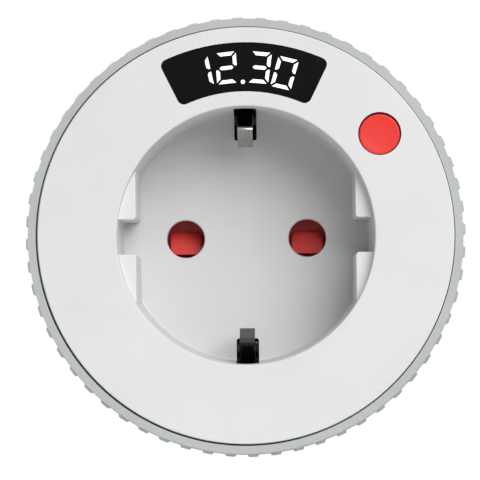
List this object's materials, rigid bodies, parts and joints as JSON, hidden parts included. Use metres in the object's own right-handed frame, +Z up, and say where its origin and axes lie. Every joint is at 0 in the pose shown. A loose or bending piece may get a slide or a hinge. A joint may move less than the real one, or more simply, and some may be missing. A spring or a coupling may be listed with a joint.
{
  "type": "plug in timer switch",
  "caption": "Round plug in timer switch with a socket recess, safety shutter, curved display window, push button and ribbed setting ring.",
  "frame": {"origin": "midway between the two plug pins, on the plug body's engagement face", "axes": "+Y along the plug pins, away from the body; +Z up with the display window at the top; +X to the right seen from the front, so the front faces -Y"},
  "size_m": [0.068, 0.0737, 0.068],
  "materials": {
    "white_shell": "moulded white ABS, fine satin",
    "grey_ring": "moulded grey ABS, satin",
    "tinted_window": "polished dark tinted acrylic",
    "red_button": "moulded red ABS",
    "red_shutter": "moulded red polyamide",
    "black_module": "black display module",
    "green_board": "glass epoxy board with solder mask",
    "black_plastic": "moulded black epoxy or nylon",
    "natural_nylon": "moulded unpigmented nylon",
    "spring_steel": "rolled spring steel, plated",
    "contact_brass": "stamped contact brass",
    "pin_nickel": "turned brass pin, nickel plated",
    "relay_case": "moulded blue relay case",
    "film_case": "moulded yellow capacitor case",
    "can_sleeve": "shrunk sleeve on an aluminium can",
    "varistor_coat": "dipped blue epoxy",
    "fuse_case": "moulded brown fuse case",
    "cell_steel": "drawn nickel plated cell can",
    "screw_steel": "zinc plated screw steel"
  },
  "bodies": {
    "housing": {"front_cover": "white_shell", "display_lens": "tinted_window", "led_display": "black_module", "display_board": "green_board", "controller_chip": "black_plastic", "button_switch": "black_plastic", "encoder_body": "black_plastic", "board_link": "black_plastic", "main_board": "green_board", "relay": "relay_case", "film_capacitor": "film_case", "electrolytic_capacitor": "can_sleeve", "varistor": "varistor_coat", "fuse": "fuse_case", "backup_battery": "cell_steel", "shutter_spring": "spring_steel", "contact_carrier": "natural_nylon", "live_contact": "contact_brass", "neutral_contact": "contact_brass", "live_strip": "contact_brass", "neutral_strip": "contact_brass", "load_strip": "contact_brass", "live_pin": "pin_nickel", "neutral_pin": "pin_nickel", "earth_contact_upper": "pin_nickel", "earth_contact_lower": "pin_nickel", "earth_clip_upper": "spring_steel", "earth_clip_lower": "spring_steel", "earth_bridge": "contact_brass", "rear_housing": "white_shell", "plug_body": "white_shell", "housing_screws": "screw_steel"},
    "ring": {"grip_ring": "grey_ring"},
    "pinion": {"encoder_pinion": "natural_nylon"},
    "button": {"button_cap": "red_button", "button_plunger": "natural_nylon"},
    "shutter": {"shutter": "red_shutter"}
  },
  "joints": [
    {"name": "ring_turn", "type": "hinge", "parent": "housing", "child": "ring", "pos_m": [0, 0, 0], "axis": [0, 1, 0], "continuous": true},
    {"name": "encoder_pinion_turn", "type": "hinge", "parent": "housing", "child": "pinion", "pos_m": [-0.0264, 0, 0], "axis": [0, 1, 0], "continuous": true},
    {"name": "button_press", "type": "slide", "parent": "housing", "child": "button", "axis": [0, 1, 0], "range_m": [0, 0.0005], "stiffness_N_per_m": 3000},
    {"name": "shutter_slide", "type": "slide", "parent": "housing", "child": "shutter", "axis": [0, 0, -1], "range_m": [0, 0.0063], "stiffness_N_per_m": 300, "springref_m": -0.002, "deforming": ["shutter_spring"]}
  ],
  "couplings": [
    {"joint": "encoder_pinion_turn", "follows": "ring_turn", "ratio": 8.3333}
  ]
}
